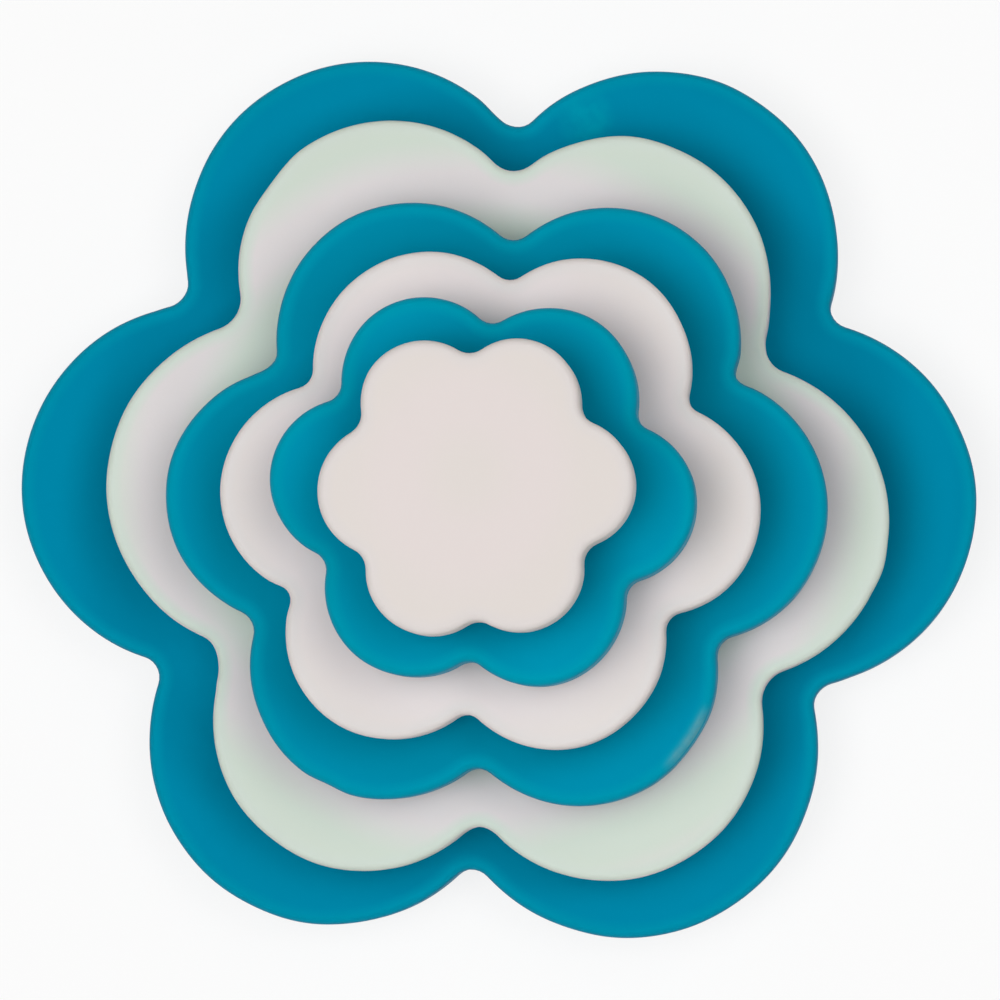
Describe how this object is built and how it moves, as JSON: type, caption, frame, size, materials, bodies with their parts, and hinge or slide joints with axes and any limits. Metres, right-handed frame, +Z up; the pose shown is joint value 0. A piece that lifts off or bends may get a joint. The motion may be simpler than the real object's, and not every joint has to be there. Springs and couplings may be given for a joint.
{
  "type": "flower plunger cutter set",
  "caption": "Nested flower-shaped plunger cutters for dough and fondant: each has a spring-loaded press cap over a bevelled cutting ring and an ejector plate inside.",
  "frame": {"origin": "centre of the largest cutter's footprint, on the plane of its cutting edge", "axes": "+X over two opposite petals of the largest cutter, +Z up through the stack"},
  "size_m": [0.1208, 0.1098, 0.0735],
  "materials": {
    "blue_plastic": "fine satin moulded",
    "white_plastic": "fine satin moulded",
    "spring_steel": "bright drawn wire"
  },
  "bodies": {
    "cutter_1": {"cutter_ring_1": "blue_plastic", "return_spring_1": "spring_steel"},
    "plunger_1": {"press_cap_1": "blue_plastic", "ejector_plate_1": "blue_plastic"},
    "cutter_2": {"cutter_ring_2": "white_plastic", "return_spring_2": "spring_steel"},
    "plunger_2": {"press_cap_2": "white_plastic", "ejector_plate_2": "white_plastic"},
    "cutter_3": {"cutter_ring_3": "blue_plastic", "return_spring_3": "spring_steel"},
    "plunger_3": {"press_cap_3": "blue_plastic", "ejector_plate_3": "blue_plastic"},
    "cutter_4": {"cutter_ring_4": "white_plastic", "return_spring_4": "spring_steel"},
    "plunger_4": {"press_cap_4": "white_plastic", "ejector_plate_4": "white_plastic"},
    "cutter_5": {"cutter_ring_5": "blue_plastic", "return_spring_5": "spring_steel"},
    "plunger_5": {"press_cap_5": "blue_plastic", "ejector_plate_5": "blue_plastic"},
    "cutter_6": {"cutter_ring_6": "white_plastic", "return_spring_6": "spring_steel"},
    "plunger_6": {"press_cap_6": "white_plastic", "ejector_plate_6": "white_plastic"}
  },
  "joints": [
    {"name": "press_1", "type": "slide", "parent": "cutter_1", "child": "plunger_1", "axis": [0, 0, -1], "range_m": [0, 0.004], "stiffness_N_per_m": 320, "springref_m": -0.006, "deforming": ["return_spring_1"]},
    {"name": "lift_2", "type": "slide", "parent": "plunger_1", "child": "cutter_2", "axis": [0, 0, 1], "range_m": [0, 0.04]},
    {"name": "press_2", "type": "slide", "parent": "cutter_2", "child": "plunger_2", "axis": [0, 0, -1], "range_m": [0, 0.004], "stiffness_N_per_m": 320, "springref_m": -0.006, "deforming": ["return_spring_2"]},
    {"name": "lift_3", "type": "slide", "parent": "plunger_2", "child": "cutter_3", "axis": [0, 0, 1], "range_m": [0, 0.04]},
    {"name": "press_3", "type": "slide", "parent": "cutter_3", "child": "plunger_3", "axis": [0, 0, -1], "range_m": [0, 0.004], "stiffness_N_per_m": 320, "springref_m": -0.006, "deforming": ["return_spring_3"]},
    {"name": "lift_4", "type": "slide", "parent": "plunger_3", "child": "cutter_4", "axis": [0, 0, 1], "range_m": [0, 0.04]},
    {"name": "press_4", "type": "slide", "parent": "cutter_4", "child": "plunger_4", "axis": [0, 0, -1], "range_m": [0, 0.004], "stiffness_N_per_m": 320, "springref_m": -0.006, "deforming": ["return_spring_4"]},
    {"name": "lift_5", "type": "slide", "parent": "plunger_4", "child": "cutter_5", "axis": [0, 0, 1], "range_m": [0, 0.04]},
    {"name": "press_5", "type": "slide", "parent": "cutter_5", "child": "plunger_5", "axis": [0, 0, -1], "range_m": [0, 0.004], "stiffness_N_per_m": 320, "springref_m": -0.006, "deforming": ["return_spring_5"]},
    {"name": "lift_6", "type": "slide", "parent": "plunger_5", "child": "cutter_6", "axis": [0, 0, 1], "range_m": [0, 0.04]},
    {"name": "press_6", "type": "slide", "parent": "cutter_6", "child": "plunger_6", "axis": [0, 0, -1], "range_m": [0, 0.004], "stiffness_N_per_m": 320, "springref_m": -0.006, "deforming": ["return_spring_6"]}
  ]
}
